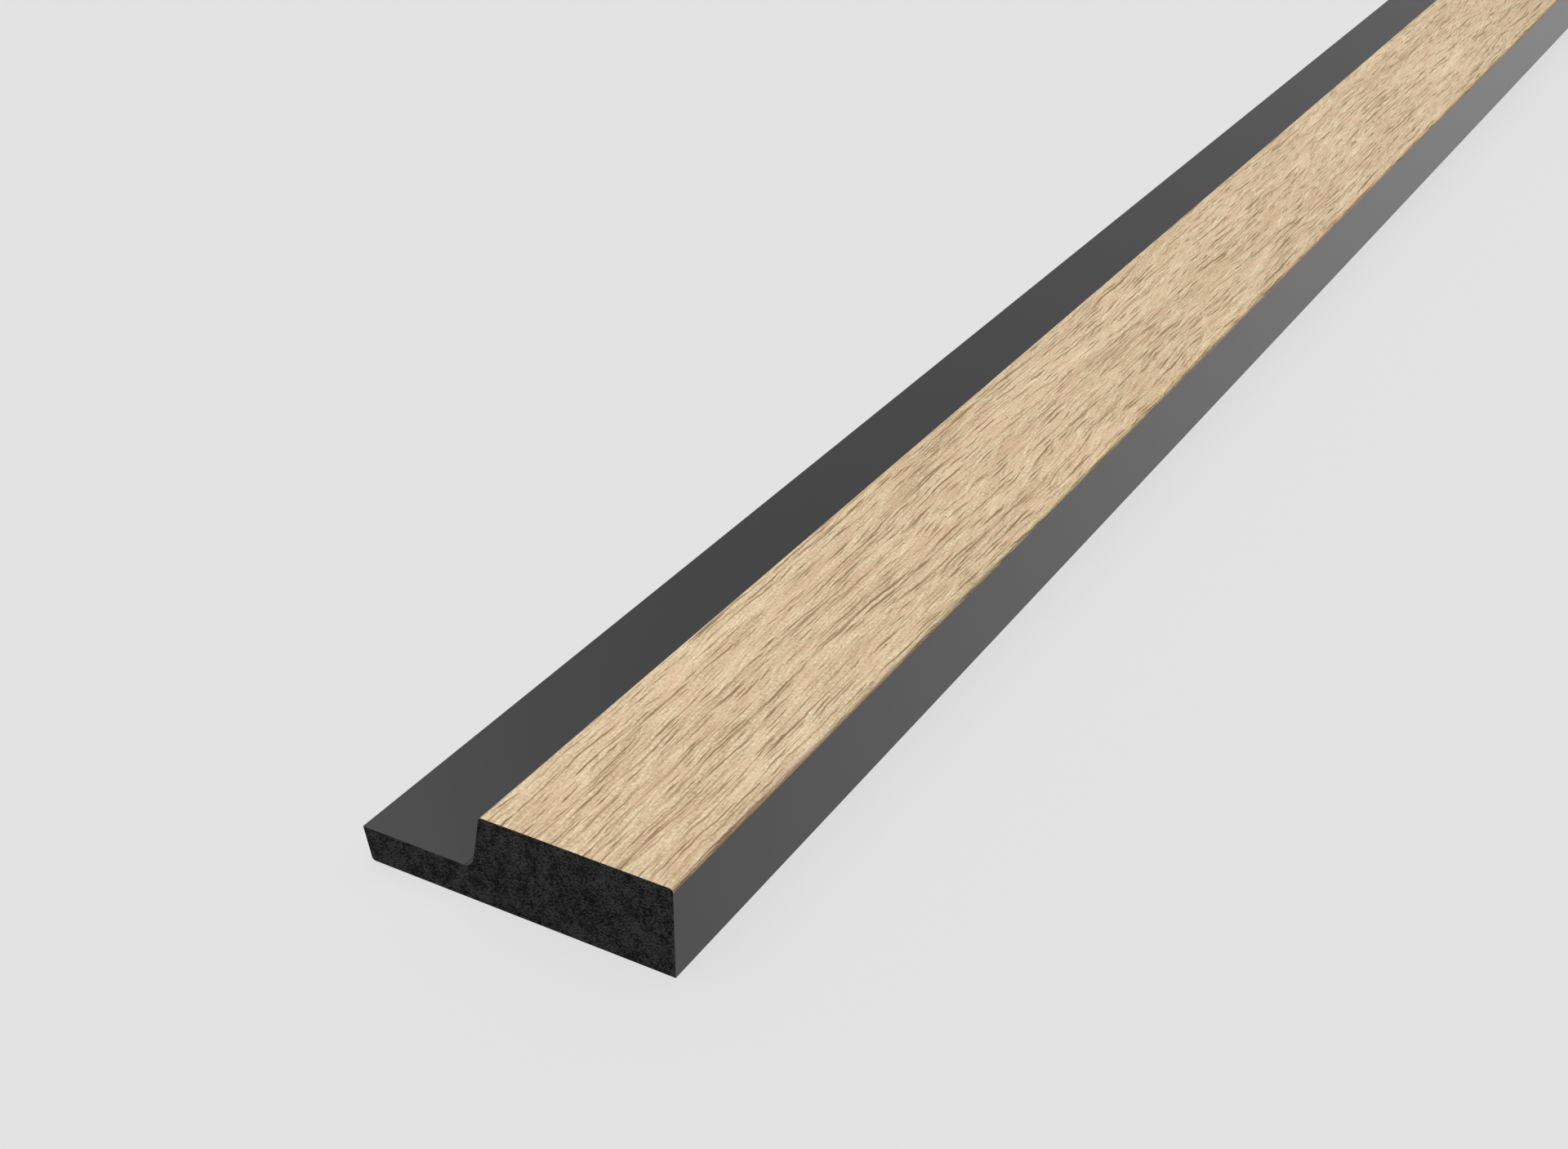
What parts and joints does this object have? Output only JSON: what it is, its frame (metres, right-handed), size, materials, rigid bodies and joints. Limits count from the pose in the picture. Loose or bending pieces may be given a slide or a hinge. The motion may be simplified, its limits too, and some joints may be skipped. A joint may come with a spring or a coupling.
{
  "type": "slatted panel end trim",
  "caption": "Straight end trim for slatted wall panels: a square-sided slat with an oak decor film, beside a thin flange whose leaning tip closes against the panel's last slat.",
  "frame": {"origin": "on the flat back, half way across and half way along", "axes": "+Y along the length, +X across towards the square outer side, +Z out of the wall towards the oak face"},
  "size_m": [0.0424, 2.65, 0.012],
  "materials": {
    "foamed_polymer": "satin",
    "oak_film": "matte"
  },
  "bodies": {
    "root": {"profile_body": "foamed_polymer", "decor_film": "oak_film"}
  },
  "joints": []
}
